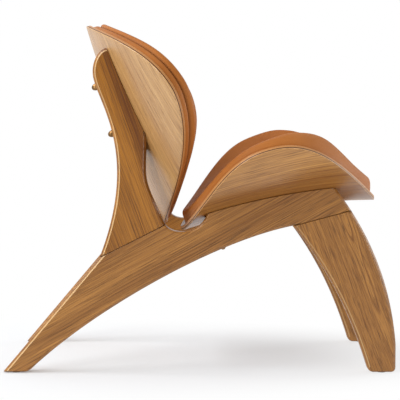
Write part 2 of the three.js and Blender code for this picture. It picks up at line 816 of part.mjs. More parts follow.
function addShell(name, form, bolts) {
  const sheet = toSolid(shellBody(form, 0, shellThickness, shellEdgeRound));
  addPiece(chair, name, toGeometry(cut(sheet, bolts.map(insertHole))), finishes.shellPly);
}

function addPad(name, form, depths, startInset, endInset) {
  const pad = { form, depths, plan: planOf(form, startInset, endInset, padSideInset) };
  addPiece(chair, `${name}_pad_cover`, padCover(pad), finishes.leather);
  addPiece(chair, `${name}_pad_foam`, padFoam(pad), finishes.foam);
  addPiece(chair, `${name}_pad_board`, padBoard(pad), finishes.board);
}

function addBolt(name, place) {
  const bolt = addPiece(chair, `${name}_bolt`, boltGeometry(place.grip), finishes.brass);
  pointAlong(bolt, place.inward, place.seat);
  const insert = addPiece(chair, `${name}_insert`, insertGeometry(), finishes.brass);
  pointAlong(insert, place.inward, place.middle);
}

sides.forEach((side, i) => {
  addSideFrame(side, sideBolts[i]);
  addGlides(side);
  addBolt(`back_lower_${side.name}`, sideBolts[i].back[0]);
  addBolt(`back_upper_${side.name}`, sideBolts[i].back[1]);
  addBolt(`seat_rear_${side.name}`, sideBolts[i].seat[0]);
  addBolt(`seat_front_${side.name}`, crossBolts[i]);
});
addCrossRails();
addShell('seat_shell', seatForm, [...sideBolts.flatMap((bolts) => bolts.seat), ...crossBolts]);
addShell('back_shell', backForm, sideBolts.flatMap((bolts) => bolts.back));
addPad('seat', seatForm, seatPadDepths, seatPadRearInset, seatPadFrontInset);
addPad('back', backForm, backPadDepths, backPadLowInset, backPadTopInset);

export default chair;
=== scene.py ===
"""Lounge chair: two moulded plywood shells with leather pads, carried by two solid wood side frames.

Metres, X forward, Y to the sitter's left, Z up, with the origin on the floor.
"""
import math

import bmesh
import bpy
import numpy as np
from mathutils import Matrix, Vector
from mathutils.geometry import tessellate_polygon


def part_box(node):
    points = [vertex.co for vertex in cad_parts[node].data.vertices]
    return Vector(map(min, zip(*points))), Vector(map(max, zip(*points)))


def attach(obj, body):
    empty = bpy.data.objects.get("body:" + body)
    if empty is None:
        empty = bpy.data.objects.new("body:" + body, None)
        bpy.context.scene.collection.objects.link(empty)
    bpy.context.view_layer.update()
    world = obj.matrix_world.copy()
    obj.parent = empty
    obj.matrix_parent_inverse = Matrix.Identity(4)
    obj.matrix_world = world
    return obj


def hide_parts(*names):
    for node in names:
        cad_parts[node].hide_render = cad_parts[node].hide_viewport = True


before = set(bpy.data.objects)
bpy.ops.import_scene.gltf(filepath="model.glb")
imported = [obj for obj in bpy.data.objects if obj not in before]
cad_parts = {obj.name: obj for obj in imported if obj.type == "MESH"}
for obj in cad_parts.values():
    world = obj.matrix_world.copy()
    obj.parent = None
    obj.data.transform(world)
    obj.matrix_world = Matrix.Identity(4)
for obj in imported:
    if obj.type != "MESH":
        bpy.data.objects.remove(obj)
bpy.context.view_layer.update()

# Side frames: outline points as (x, z) and the pull points of the curves between them
HEEL_X = -0.413
TOE_X = 0.413
FRAME_OUTER_Y = 0.2
FRAME_INNER_Y = 0.168
FLOOR_GAP = 0.002
REAR_FOOT = 0.053
FRONT_FOOT = 0.057
FOOT_ROUND = 0.010
SHIN = (TOE_X, 0.0595)
REAR_CROTCH = (-0.2095, 0.243)
FRONT_CROTCH = (0.1966, 0.3102)
LEG_JOINT_FRONT = (0.3155, 0.3421)
RAIL_FRONT_TOP = (0.2825, 0.3908)
RAIL_REAR_TOP = (0.0159, 0.3361)
NOTCH_CORNER = (-0.0715, 0.3122)
POST_CONTACT_LOW = (-0.1097, 0.4987)
POST_SHOULDER = (-0.2216, 0.6259)
POST_TOP = (-0.191, 0.6796)
ARCH_PULL = ((-0.2275, 0.1279), (0.0298, 0.2773))
LEG_REAR_PULL = ((0.2395, 0.2560), (0.3055, 0.1660))
LEG_FRONT_PULL = ((0.4001, 0.2134), (0.3386, 0.3182))
NOTCH_PULL = ((0.0050, 0.2912), (-0.0566, 0.2882))
POST_FRONT_PULL = ((-0.1199, 0.4165), (-0.1130, 0.3967))
POST_TOP_PULL = ((-0.2090, 0.6800), (-0.2238, 0.6517))
POST_REAR_PULL = ((-0.2170, 0.5704), (-0.1204, 0.4706))
SCRIBE_ALLOWANCE = 0.040
EDGE_ROUND = 0.007
NOTCH_ROUND = 0.004
JOINT_ROUND = 0.0014
SOLE_ROUND = 0.0022
SOLE_STEP = 0.006
# Section of a softened edge from the board's face to its rim: distance in from the rim and distance back from
# the face, both as shares of the round, and how much painted highlight it takes
EDGE_SECTION = ((1.0, 0.0, 0.0), (0.84, 0.02, 1.0), (0.66, 0.11, 1.0), (0.54, 0.20, 0.0), (0.14, 0.70, 0.0),
                (0.03, 0.86, 0.0), (0.0, 1.0, 0.0))
# Edges that face this way, as (x, z), up and to the rear where the lamps are, get a painted highlight
HIGHLIGHT_SIDE = (-0.85, 0.53)
# The outline is mitred where the sine of its turn is larger than this
SHARP_TURN = 0.2
# Steps along a curve, round a foot's corner, along a joint and across a board's rim
FINE = 60
CORNER_STEPS = 8
JOINT_STEPS = 8
RIM_STEPS = 6
# Lines that the boards' grain follows
RAIL_GRAIN = ((HEEL_X, 0.0), RAIL_FRONT_TOP)
POST_GRAIN = ((-0.07, 0.24), (-0.23, 0.68))
LEG_GRAIN = ((0.26, 0.33), (0.385, 0.0))
# Where each board was cut from its log: metres along, across and through, and the slope between board and log
GRAIN_SHIFT = {
    "seat_rail_right_board": (0.0, 0.36, 0.245, 0.0),
    "back_post_right_board": (3.1, -0.30, 0.240, 0.0),
    "front_leg_right_board": (6.2, -0.038, 0.206, 0.03),
    "seat_rail_left_board": (9.3, 0.40, -0.130, 0.0),
    "back_post_left_board": (12.4, -0.28, -0.140, 0.0),
    "front_leg_left_board": (15.5, -0.045, -0.190, 0.03),
}

# Shells, with the veneer's stretch across the shell and its shift across and through its log
PLY = 0.010
PLY_ROUND = 0.0016
SHELL_GAP = 0.0003
SHELL_SIDES = 220
SHELL_RINGS = 26
PLY_ROUND_STEPS = 5
PLY_EDGE_STEPS = 6
VENEER_STRETCH = 1.1
VENEER_ACROSS = 0.02
VENEER_THROUGH = 0.09

# Pads
PAD_REST_GAP = 0.001
PAD_CROWN = 0.005
PAD_ROLL = 0.009
# Thickness along the chord, at even steps from the start to the end
SEAT_PAD_DEPTHS = (0.034, 0.028, 0.0245, 0.026, 0.034, 0.050, 0.061, 0.042, 0.042)
BACK_PAD_DEPTHS = (0.020, 0.0225, 0.031, 0.041, 0.0405, 0.0375, 0.036, 0.033, 0.034)
# Distance from the shell's edge, at the chord's start and end and at the sides
SEAT_PAD_INSETS = (0.012, 0.008)
BACK_PAD_INSETS = (0.007, 0.006)
PAD_SIDE_INSET = 0.003
# Board that the leather is turned over, as a band under the cushion: its height, and the depth of the crease
# above it
SEAT_BAND = (0.005, 0.0015)
BACK_BAND = (0.018, 0.0080)
BAND_UNDERCUT = 0.002
# The band takes no more than this share of a thin end
BAND_SHARE = 0.55
# The crease fades in from the pad's start: its share there, and the length over which it would gain its whole
# depth
CREASE_FADE = (0.25, 0.24)
# Length over which the back pad thins out at its lower end
BACK_PAD_TAPER = 0.014
# The pads start flatter in the middle by the first and swell by no more than the second
PAD_SLACK = 0.003
PAD_SWELL = 0.005
PAD_PRESSURE = 4.0
SWELL_FRAMES = 20
# Hold of the leather where the face meets the rolled edge, and how late it sets in
RIM_HOLD = 0.6
RIM_HOLD_POWER = 8
# Points round a pad, rings on its face, and steps over its rolled edge and its band
PAD_SIDES = 180
PAD_RINGS = 24
ROLL_STEPS = 19
BAND_STEPS = 11

# Cross rails, with the shift of their grain along X and Z
RAIL_THICKNESS = 0.026
RAIL_ROUND = 0.003
RAIL_ROUND_STEPS = 6
RAIL_STATIONS = 33
RAIL_GRAIN_SHIFT = (0.1, -0.12)
FRONT_RAIL_FROM_REAR = 0.302
FRONT_RAIL_HEIGHT = 0.070
REAR_RAIL_X = -0.062
REAR_RAIL_LOW_Z = 0.214
REAR_RAIL_HEIGHT = 0.048

# Bolts, with their places along the shells' chords, and glides
BACK_LOWER_BOLT = 0.2305
BACK_UPPER_BOLT = 0.331
SEAT_REAR_BOLT = 0.076
SEAT_FRONT_BOLT = FRONT_RAIL_FROM_REAR
HEAD_RADIUS = 0.0073
HEAD_HEIGHT = 0.0115
DOME_STEPS = 11
COLLAR = 0.002
COLLAR_LINE = 0.0003
COLLAR_CHAMFER = (0.001, 0.0008)
SHANK_RADIUS = 0.003
GLIDE_CHAMFER = (0.0006, 0.0005)
GLIDE_THICKNESS = 0.0017
NAIL_RADIUS = 0.0015
TURNED_SIDES = 40

# Wood: how fast each layer of its figure changes along, across and through the log
SWAY_SCALE = (2.5, 7.0, 7.0)
BAND_SCALE = (0.5, 20.0, 0.0)
STREAK_SCALE = (1.2, 330.0, 0.0)
FIBRE_SCALE = (5.5, 620.0, 620.0)
PORE_SCALE = (14.0, 900.0, 900.0)
# How far the rings sway, the noise levels that the layers are drawn between, and what bands and streaks add
SWAY_REACH = 0.03
FIGURE_LEVELS = (0.30, 0.72)
PORE_LEVELS = (0.54, 0.68)
TONE_LEVELS = (0.1, 0.95)
BAND_TONE = 0.45
STREAK_TONE = 0.55
# A pith's rings begin and are full at these shares of their spacing. It fades from this share of its reach
PITH_RING = (0.3, 0.5)
PITH_CORE = 0.4
# Strength of pores, of dark joints with painted shade beside them, and of painted edge highlights in the
# colour, and what fibres and pores add to the roughness
PORE_STRENGTH = 0.75
JOINT_AND_SHADE_STRENGTH = 0.45
EDGE_HIGHLIGHT_STRENGTH = 0.75
FIBRE_ROUGHNESS = (-0.03, 0.05)
PORE_ROUGHNESS = 0.15
# Bumps, as strength and distance
WOOD_BUMP = (0.12, 0.0004)
PLY_BUMP = (0.2, 0.0003)
LEATHER_BUMP = (0.18, 0.0005)
PLAIN_BUMP = (0.15, 0.0005)
# Edge of the plywood: plies, noise, and where the face veneer with its painted highlight and the darker band
# under it end
PLY_COUNT = 7.0
PLY_MOTTLE = (160.0, 160.0, 160.0)
MOTTLE_SHARE = 0.7
GLUE_LINE = 0.7
VENEER_HIGHLIGHT_END = (0.16, 0.20)
DARK_BAND_END = (0.40, 0.46)
# Leather and brass
CLOUD_SCALE = 6.0
FINE_SCALE = 190.0
PEBBLE_SCALE = 620.0
CREASE_SCALE = 480.0
CREASE_COLOUR_WIDTH = 0.09
CREASE_STRENGTH = 0.2
CREASE_WIDTH = 0.14
CREASE_HEIGHT = 0.8
PEBBLE_HEIGHT = -0.5
FINE_HEIGHT = 0.5
# Strength of the painted shade in the pads' crease
CREASE_SHADE_STRENGTH = 0.6
LEATHER_ROUGHNESS = (0.44, 0.60)
PATINA_SCALE = 160.0
PATINA_LEVELS = (0.35, 0.7)
BRASS_ROUGHNESS = (0.26, 0.42)
# Levels that most of a noise lies between
MOST_NOISE = (0.3, 0.7)

# Camera: focal length in pixels of a picture that is this wide, angles in degrees
PICTURE_WIDTH = 400
FOCAL_LENGTH = 1274.4
SENSOR_WIDTH = 36.0
CLIP_END = 50.0
CAMERA_PLACE = (0.0069, -2.8503, 0.5360)
CAMERA_DIP = 3.705
CAMERA_TURN = 0.122
# Lights: name, place, target, size and power
LIGHTS = (
    ("key", (-2.4, -0.5, 2.9), (0.0, 0.0, 0.3), (2.0, 2.0), 68.0),
    ("fill", (-2.4, -3.0, 2.8), (0.0, 0.0, 0.35), (2.4, 2.0), 60.0),
    ("strip", (-2.8, -3.2, 0.95), (-0.2, -0.2, 0.3), (0.3, 1.4), 32.0),
    ("low", (2.4, -2.6, 0.4), (0.3, 0.0, 0.12), (1.6, 0.8), 28.0),
    ("right", (2.6, 0.9, 0.9), (0.2, 0.0, 0.1), (1.6, 1.0), 18.0),
)
# World: its strength in front of the chair's side and behind it, and where along Y it changes
WORLD_FRONT = 0.12
WORLD_BEHIND = 0.85
WORLD_CHANGE = (-0.7, 0.3)
# Floor: half its side, its paint, and its glow as a light
FLOOR_REACH = 20.0
FLOOR_PAINT = (0.81, 0.835, 0.865, 1.0)
FLOOR_GLOW = 0.8
# The paint fades to white round the chair: stretch and shift of the place, radii of the fade, and the share of
# white at each
FADE_STRETCH = (1.0, 2.0, 0.0)
FADE_SHIFT = (0.35, 0.0, 0.0)
FADE_RADII = (0.38, 1.1)
FADE_WHITE = (0.22, 1.0)


class Form:
    """A shell's moulded face: s runs along the chord, y across, and h is the height over the outer face."""

    def __init__(self, start, angle, side, chord, half_width, widest, rise, hook, growth, bow, powers):
        turn = math.radians(angle)
        self.start = np.array((start[0], 0.0, start[1]))
        self.along = np.array((math.cos(turn), 0.0, math.sin(turn)))
        self.out = np.array((-math.sin(turn), 0.0, math.cos(turn))) * side
        self.chord = chord
        self.half_width = half_width
        self.widest = widest
        self.rise = rise
        self.hook = hook
        self.growth = growth
        self.bow = bow
        self.start_power, self.end_power, self.side_power = powers

    def wing(self, y):
        """Share of the wings' rise at y, and its slope."""
        reach = y / self.half_width
        share = (1 - self.hook) * reach**2 + self.hook * reach**4
        slope = (2 * (1 - self.hook) * reach + 4 * self.hook * reach**3) / self.half_width
        return share, slope

    def lift(self, s, y):
        """Height of the outer face over the chord."""
        t = s / self.chord
        return 4 * self.bow * t * (1 - t) + self.rise * self.wing(y)[0] * (1 + self.growth * (2 * t - 1))

    def slopes(self, s, y):
        """Slopes of the outer face along the chord and across."""
        t = s / self.chord
        share, slope = self.wing(y)
        lengthwise = (4 * self.bow * (1 - 2 * t) + 2 * self.rise * self.growth * share) / self.chord
        return lengthwise, self.rise * slope * (1 + self.growth * (2 * t - 1))

    def point(self, s, y, h):
        s, y, h = np.broadcast_arrays(np.asarray(s, float), y, h)
        lengthwise, across = self.slopes(s, y)
        step = h / np.sqrt(1 + lengthwise**2 + across**2)
        place = self.start + (s - lengthwise * step)[..., None] * self.along
        place = place + (self.lift(s, y) + step)[..., None] * self.out
        place[..., 1] = y - across * step
        return place

    def side_point(self, s, y):
        """(x, z) just under the outer face."""
        place = self.point(s, y, -SHELL_GAP)
        return np.stack([place[..., 0], place[..., 2]], axis=-1)

    def height_over(self, points, y):
        """How far (x, z) points of the plane at y lie on the sitter's side of the outer face."""
        offset = points - self.start[[0, 2]]
        s = offset @ self.along[[0, 2]]
        return offset @ self.out[[0, 2]] - self.lift(s, y) + SHELL_GAP

    def plan(self, sides, start_inset, end_inset, side_inset):
        """Oval plan as distances from the widest place along the chord and across."""
        turn = 2 * np.pi * np.arange(sides) / sides
        run = np.cos(turn)
        half = np.where(run > 0, self.chord - end_inset - self.widest, self.widest - start_inset)
        power = np.where(run > 0, self.end_power, self.start_power)
        share = np.maximum(0, 1 - np.abs(run) ** power) ** (1 / self.side_power)
        return half * run, np.sign(np.sin(turn)) * (self.half_width - side_inset) * share

    def ring(self, plan, share, inset, height):
        """Points of the scaled plan at a height. The inset is taken off its reach."""
        reach = np.hypot(*plan)
        scale = share * (1 - inset / reach)
        return self.point(self.widest + plan[0] * scale, plan[1] * scale, height)


SEAT = Form(start=(-0.0402, 0.2850), angle=9.0, side=1, chord=0.4340, half_width=0.345, widest=0.2010,
            rise=0.1379, hook=0.264, growth=0.176, bow=0.0171, powers=(2.34, 2.34, 1.677))
BACK = Form(start=(-0.0806, 0.2985), angle=111.2, side=-1, chord=0.4698, half_width=0.335, widest=0.2682,
            rise=0.1458, hook=0.0, growth=-0.34, bow=-0.0098, powers=(1.684, 2.25, 1.693))


# Materials

class Nodes:
    """A node tree, written in short lines."""

    def __init__(self, tree):
        self.tree = tree

    def feed(self, socket, value):
        if isinstance(value, bpy.types.NodeSocket):
            self.tree.links.new(value, socket)
        elif value is not None:
            socket.default_value = value

    def add(self, kind, inputs=None, **settings):
        """A new node with its settings, whose inputs are fed with values or with other nodes' outputs."""
        node = self.tree.nodes.new("ShaderNode" + kind)
        for name, value in settings.items():
            setattr(node, name, value)
        for socket, value in (inputs or {}).items():
            self.feed(node.inputs[socket], value)
        return node

    def place(self):
        return self.add("TexCoord").outputs["Object"]

    def attribute(self, name, output="Vector"):
        return self.add("Attribute", attribute_name=name).outputs[output]

    def split(self, vector):
        return self.add("SeparateXYZ", {0: vector}).outputs

    def join(self, x, y, z):
        return self.add("CombineXYZ", {0: x, 1: y, 2: z}).outputs[0]

    def math(self, operation, a, b=None, c=None):
        return self.add("Math", {0: a, 1: b, 2: c}, operation=operation).outputs[0]

    def stretch(self, vector, scale, shift=(0.0, 0.0, 0.0)):
        return self.add("VectorMath", {0: vector, 1: scale, 2: shift}, operation="MULTIPLY_ADD").outputs[0]

    def noise(self, vector, scale=1.0, detail=3.0, roughness=0.55):
        inputs = {"Vector": vector, "Scale": scale, "Detail": detail, "Roughness": roughness}
        return self.add("TexNoise", inputs).outputs["Fac"]

    def cells(self, vector, scale, feature="F1"):
        return self.add("TexVoronoi", {"Vector": vector, "Scale": scale}, feature=feature).outputs["Distance"]

    def span(self, value, low, high, to_low=0.0, to_high=1.0, interpolation="LINEAR"):
        inputs = {"Value": value, "From Min": low, "From Max": high, "To Min": to_low, "To Max": to_high}
        return self.add("MapRange", inputs, interpolation_type=interpolation).outputs["Result"]

    def mix(self, share, low, high):
        return self.add("Mix", {"Factor": share, 6: low, 7: high}, data_type="RGBA").outputs[2]


class Shading(Nodes):
    """A material with one principled shader."""

    def __init__(self, name, **settings):
        self.material = bpy.data.materials.new(name)
        self.material.use_nodes = True
        super().__init__(self.material.node_tree)
        self.tree.nodes.clear()
        self.shader = self.add("BsdfPrincipled")
        self.add("OutputMaterial", {"Surface": self.shader.outputs[0]})
        for socket, value in settings.items():
            self.set(socket.replace("_", " "), value)

    def set(self, socket, value):
        self.feed(self.shader.inputs[socket], value)

    def bump(self, height, strength, distance):
        inputs = {"Height": height, "Strength": strength, "Distance": distance}
        self.set("Normal", self.add("Bump", inputs).outputs[0])


def colour(red, green, blue):
    """Screen colour, 0 to 255, as the linear colour that a shader takes."""
    values = [channel / 255 for channel in (red, green, blue)]
    return tuple(v / 12.92 if v <= 0.04045 else ((v + 0.055) / 1.055) ** 2.4 for v in values) + (1.0,)


# Pale colour painted on the rounded edges that face the lamps, as a highlight
PAINTED_EDGE_HIGHLIGHT = colour(236, 196, 138)
# Dark colour for the joints between boards, and painted shade for the edges against the shells and the soles
WOOD_JOINT_AND_SHADE = colour(62, 34, 12)
# Painted shade in the crease between a pad's cushion and its band
LEATHER_CREASE_SHADE = colour(84, 44, 18)


def wood_material(name, light, dark, pore, contrast, gloss, shine, heart_and_shade=None, pith=None):
    """Sawn wood. The grain attribute holds metres along the log, and across and through it from its middle.

    A heart_and_shade is a dark streak: its radius, half its width, the fade beside it and its strength. It is
    the post's darker heart, and painted shade along the rails on the seat veneer. A pith is a set of dark
    rings round the log's middle: their spacing, their reach and their strength.
    """
    mat = Shading(name, IOR=1.6, Specular_IOR_Level=shine)
    grain = mat.attribute("grain")
    along, across, through = mat.split(grain)
    square = mat.math("MULTIPLY", through, through)
    radius = mat.math("SQRT", mat.math("MULTIPLY_ADD", across, across, square))
    sway = mat.noise(mat.stretch(grain, SWAY_SCALE), detail=2.0)
    radius = mat.math("MULTIPLY_ADD", mat.math("SUBTRACT", sway, 0.5), SWAY_REACH, radius)
    rings = mat.join(along, radius, 0.0)
    bands = mat.noise(mat.stretch(rings, BAND_SCALE), detail=3.0)
    streaks = mat.noise(mat.stretch(rings, STREAK_SCALE), detail=4.0, roughness=0.65)
    fibres = mat.noise(mat.stretch(grain, FIBRE_SCALE), detail=4.0, roughness=0.7)
    pores = mat.span(mat.noise(mat.stretch(grain, PORE_SCALE), detail=2.0), *PORE_LEVELS)
    streaked = mat.span(streaks, *FIGURE_LEVELS, 0.0, STREAK_TONE)
    tone = mat.math("MULTIPLY_ADD", mat.span(bands, *FIGURE_LEVELS), BAND_TONE, streaked)
    tone = mat.math("MULTIPLY_ADD", mat.math("SUBTRACT", fibres, 0.5), contrast, tone)
    # A darker streak: the wood's own heart on the post, painted shade along the rails on the seat veneer
    if heart_and_shade:
        middle, core, fade, strength = heart_and_shade
        away = mat.math("ABSOLUTE", mat.math("SUBTRACT", radius, middle))
        tone = mat.math("ADD", tone, mat.span(away, core, core + fade, strength, 0.0))
    if pith:
        spacing, reach, strength = pith
        wave = mat.math("PINGPONG", radius, spacing / 2)
        ring = mat.span(wave, PITH_RING[0] * spacing, PITH_RING[1] * spacing, 0.0, strength)
        tone = mat.math("MULTIPLY_ADD", ring, mat.span(radius, PITH_CORE * reach, reach, 1.0, 0.0), tone)
    body = mat.mix(mat.span(tone, *TONE_LEVELS), light, dark)
    body = mat.mix(mat.math("MULTIPLY", pores, PORE_STRENGTH), body, pore)
    # Dark joints, and painted shade where the boards meet the shells and the floor
    body = mat.mix(mat.math("MULTIPLY", mat.attribute("joint_and_shade", "Fac"), JOINT_AND_SHADE_STRENGTH), body, WOOD_JOINT_AND_SHADE)
    # Painted highlight on the edges that face the lamps
    body = mat.mix(mat.math("MULTIPLY", mat.attribute("painted_highlight", "Fac"), EDGE_HIGHLIGHT_STRENGTH), body, PAINTED_EDGE_HIGHLIGHT)
    mat.set("Base Color", body)
    rough = mat.span(fibres, *MOST_NOISE, gloss + FIBRE_ROUGHNESS[0], gloss + FIBRE_ROUGHNESS[1])
    mat.set("Roughness", mat.math("MULTIPLY_ADD", pores, PORE_ROUGHNESS, rough))
    mat.bump(mat.math("SUBTRACT", fibres, pores), *WOOD_BUMP)
    return mat.material


def ply_edge_material():
    """Moulded sheet's edge: face veneer painted pale as a highlight, a darker band, tan plies with glue lines.
    """
    mat = Shading("ply_edge", Roughness=0.45, IOR=1.5, Specular_IOR_Level=0.35)
    layer = mat.attribute("layer", "Fac")
    grain = mat.attribute("grain")
    plies = mat.math("PINGPONG", mat.math("MULTIPLY", layer, PLY_COUNT), 1.0)
    mottle = mat.noise(mat.stretch(grain, PLY_MOTTLE), detail=3.0)
    glue = mat.math("GREATER_THAN", plies, GLUE_LINE)
    share = mat.math("MULTIPLY_ADD", mat.math("SUBTRACT", mottle, 0.5), MOTTLE_SHARE, glue)
    tan = mat.mix(share, colour(196, 138, 80), colour(160, 104, 54))
    inner = mat.mix(mat.span(layer, *DARK_BAND_END), colour(84, 48, 20), tan)
    # The face veneer on the arris is painted paler than the faces, as a highlight
    mat.set("Base Color", mat.mix(mat.span(layer, *VENEER_HIGHLIGHT_END), colour(226, 176, 120), inner))
    mat.bump(mat.math("MULTIPLY", mottle, plies), *PLY_BUMP)
    return mat.material


def leather_material():
    mat = Shading("tan_leather", IOR=1.45, Specular_IOR_Level=0.15)
    texture = mat.place()
    clouds = mat.noise(texture, CLOUD_SCALE, 4.0)
    fine = mat.noise(texture, FINE_SCALE, 4.0)
    pebble = mat.cells(texture, PEBBLE_SCALE)
    crease = mat.cells(texture, CREASE_SCALE, "DISTANCE_TO_EDGE")
    body = mat.mix(mat.span(clouds, *MOST_NOISE), colour(169, 101, 44), colour(187, 117, 56))
    creased = mat.span(crease, 0.0, CREASE_COLOUR_WIDTH, CREASE_STRENGTH, 0.0)
    body = mat.mix(creased, body, colour(118, 64, 26))
    # Painted shade in the pads' crease
    joint_and_shade = mat.math("MULTIPLY", mat.attribute("joint_and_shade", "Fac"), CREASE_SHADE_STRENGTH)
    mat.set("Base Color", mat.mix(joint_and_shade, body, LEATHER_CREASE_SHADE))
    mat.set("Roughness", mat.span(fine, *MOST_NOISE, *LEATHER_ROUGHNESS))
    pebbles = mat.math("MULTIPLY", pebble, PEBBLE_HEIGHT)
    height = mat.math("MULTIPLY_ADD", mat.span(crease, 0.0, CREASE_WIDTH), CREASE_HEIGHT, pebbles)
    mat.bump(mat.math("MULTIPLY_ADD", fine, FINE_HEIGHT, height), *LEATHER_BUMP)
    return mat.material


def brass_material():
    mat = Shading("aged_brass", Metallic=1.0)
    patina = mat.noise(mat.place(), PATINA_SCALE, 4.0)
    body = mat.mix(mat.span(patina, *PATINA_LEVELS), colour(160, 122, 78), colour(104, 78, 48))
    mat.set("Base Color", body)
    mat.set("Roughness", mat.span(patina, *MOST_NOISE, *BRASS_ROUGHNESS))
    return mat.material


def plain_material(name, low, high, roughness, scale):
    """Matt stuff with a fine mottle, for the glides and the dowels."""
    mat = Shading(name, Roughness=roughness)
    mottle = mat.noise(mat.place(), scale, 4.0)
    mat.set("Base Color", mat.mix(mat.span(mottle, *MOST_NOISE), low, high))
    mat.bump(mottle, *PLAIN_BUMP)
    return mat.material


FRAME_FINISH = {"contrast": 1.9, "gloss": 0.28, "shine": 0.35}
FRAME_COLOURS = (colour(186, 130, 64), colour(120, 73, 27), colour(72, 42, 14))
FRAME_WOOD = wood_material("frame_wood", *FRAME_COLOURS, **FRAME_FINISH)
LEG_WOOD = wood_material("leg_wood", *FRAME_COLOURS, **FRAME_FINISH, pith=(0.0045, 0.022, 0.6))
POST_COLOURS = (colour(178, 118, 42), colour(106, 58, 10), colour(60, 32, 6))
POST_WOOD = wood_material("post_wood", *POST_COLOURS, **FRAME_FINISH, heart_and_shade=(0.338, 0.004, 0.018, 0.45))
# One veneer in two copies: the back's is paler as painted sheen, the seat's darker as painted shade
BACK_VENEER_PAINTED_SHEEN = wood_material("back_veneer_painted_sheen", colour(206, 162, 104), colour(156, 106, 52), colour(120, 76, 36),
                            contrast=1.6, gloss=0.28, shine=0.65)
SEAT_VENEER_PAINTED_SHADE = wood_material("seat_veneer_painted_shade", colour(204, 147, 74), colour(136, 82, 28), colour(100, 60, 24),
                            contrast=1.6, gloss=0.30, shine=0.55, heart_and_shade=(0.17, 0.04, 0.06, 0.40))
PLY_EDGE = ply_edge_material()
LEATHER = leather_material()
BRASS = brass_material()
GLIDE = plain_material("glide_nylon", colour(40, 35, 31), colour(58, 51, 45), 0.6, 300.0)
DOWEL = plain_material("dowel_beech", colour(205, 176, 132), colour(222, 194, 150), 0.7, 200.0)


# Meshes

def add_mesh(name, points, faces, materials):
    """A new piece on the chair's only body, at rest where its points are."""
    mesh = bpy.data.meshes.new(name)
    mesh.from_pydata([tuple(p) for p in points], [], faces)
    mesh.update()
    for material in materials:
        mesh.materials.append(material)
    mesh.polygons.foreach_set("use_smooth", [True] * len(mesh.polygons))
    piece = bpy.data.objects.new(name, mesh)
    bpy.context.scene.collection.objects.link(piece)
    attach(piece, "root")
    return piece


def set_vectors(piece, name, values):
    attribute = piece.data.attributes.new(name, "FLOAT_VECTOR", "POINT")
    attribute.data.foreach_set("vector", np.asarray(values, np.float32).ravel())


def set_numbers(piece, name, values):
    attribute = piece.data.attributes.new(name, "FLOAT", "POINT")
    attribute.data.foreach_set("value", np.asarray(values, np.float32))


def even_normals(piece):
    """Large flat faces keep their own normals beside rounded edges."""
    modifier = piece.modifiers.new("even_normals", "WEIGHTED_NORMAL")
    modifier.mode = "FACE_AREA"
    modifier.weight = 100
    modifier.keep_sharp = True


def loft_faces(rings, count):
    """Quads between rings of equal count."""
    faces = []
    for ring in range(rings - 1):
        for i in range(count):
            j = (i + 1) % count
            low, high = ring * count, (ring + 1) * count
            faces.append((low + i, low + j, high + j, high + i))
    return faces


def cap_faces(ring, first, turned_over):
    """Triangles that close a flat ring of (x, z) points."""
    loop = [Vector((x, z, 0.0)) for x, z in ring]
    triangles = tessellate_polygon([loop])
    return [tuple(first + k for k in (t[::-1] if turned_over else t)) for t in triangles]


def closed_loft(rings):
    """Points and faces of a body from its rings, which are square to Y, with both ends closed."""
    count = len(rings[0])
    last = (len(rings) - 1) * count
    faces = loft_faces(len(rings), count)
    faces += cap_faces(rings[0][:, [0, 2]], 0, False)
    faces += cap_faces(rings[-1][:, [0, 2]], last, True)
    return np.vstack(rings), faces


def pole_faces(rings, count):
    """Faces of a body whose points are a pole, rings of equal count and another pole."""
    faces = [tuple(1 + k for k in face) for face in loft_faces(rings, count)]
    last = rings * count + 1
    for i in range(count):
        j = (i + 1) % count
        faces.append((0, 1 + j, 1 + i))
        faces.append((last, last - count + i, last - count + j))
    return faces


def point_outwards(piece):
    """Turns a closed body's faces outwards."""
    body = bmesh.new()
    body.from_mesh(piece.data)
    bmesh.ops.recalc_face_normals(body, faces=body.faces)
    body.to_mesh(piece.data)
    body.free()


# Side frames

def bezier(start, pull, end, count):
    """Points of a cubic curve, without its last one."""
    t = (np.arange(count) / count)[:, None]
    a, b, c, d = (np.array(p, float) for p in (start, pull[0], pull[1], end))
    return (1 - t) ** 3 * a + 3 * (1 - t) ** 2 * t * b + 3 * (1 - t) * t**2 * c + t**3 * d


def corner(before, point, after, count):
    """Rounded corner from one point to another, without its last point."""
    t = (np.arange(count) / count)[:, None]
    a, b, c = (np.array(p, float) for p in (before, point, after))
    return (1 - t) ** 2 * a + 2 * (1 - t) * t * b + t**2 * c


def towards(point, other, distance):
    step = np.array(other, float) - np.array(point, float)
    return np.array(point, float) + step * distance / np.hypot(*step)


def evenly(path, count):
    """The path's points at even spacing, both ends included."""
    steps = np.hypot(*np.diff(path, axis=0).T)
    run = np.concatenate([[0.0], np.cumsum(steps)])
    places = np.linspace(0.0, run[-1], count)
    return np.stack([np.interp(places, run, path[:, k]) for k in (0, 1)], axis=1)


def joint_line(start, end):
    """Points of a straight joint, without its last one."""
    return evenly(np.array([start, end]), JOINT_STEPS)[:-1]


def cut_path(path, values):
    """The path up to the place where its values first rise above zero."""
    rising = np.nonzero((values[:-1] <= 0) & (values[1:] > 0))[0]
    if len(rising) == 0:
        return path
    k = rising[0] + 1
    share = values[k - 1] / (values[k - 1] - values[k])
    return np.vstack([path[:k], path[k - 1] + (path[k] - path[k - 1]) * share])


def beyond(line, points):
    """How far points lie to the left of a line through two points."""
    a, b = (np.array(p, float) for p in line)
    run = (b - a) / np.hypot(*(b - a))
    offset = points - a
    return run[0] * offset[:, 1] - run[1] * offset[:, 0]


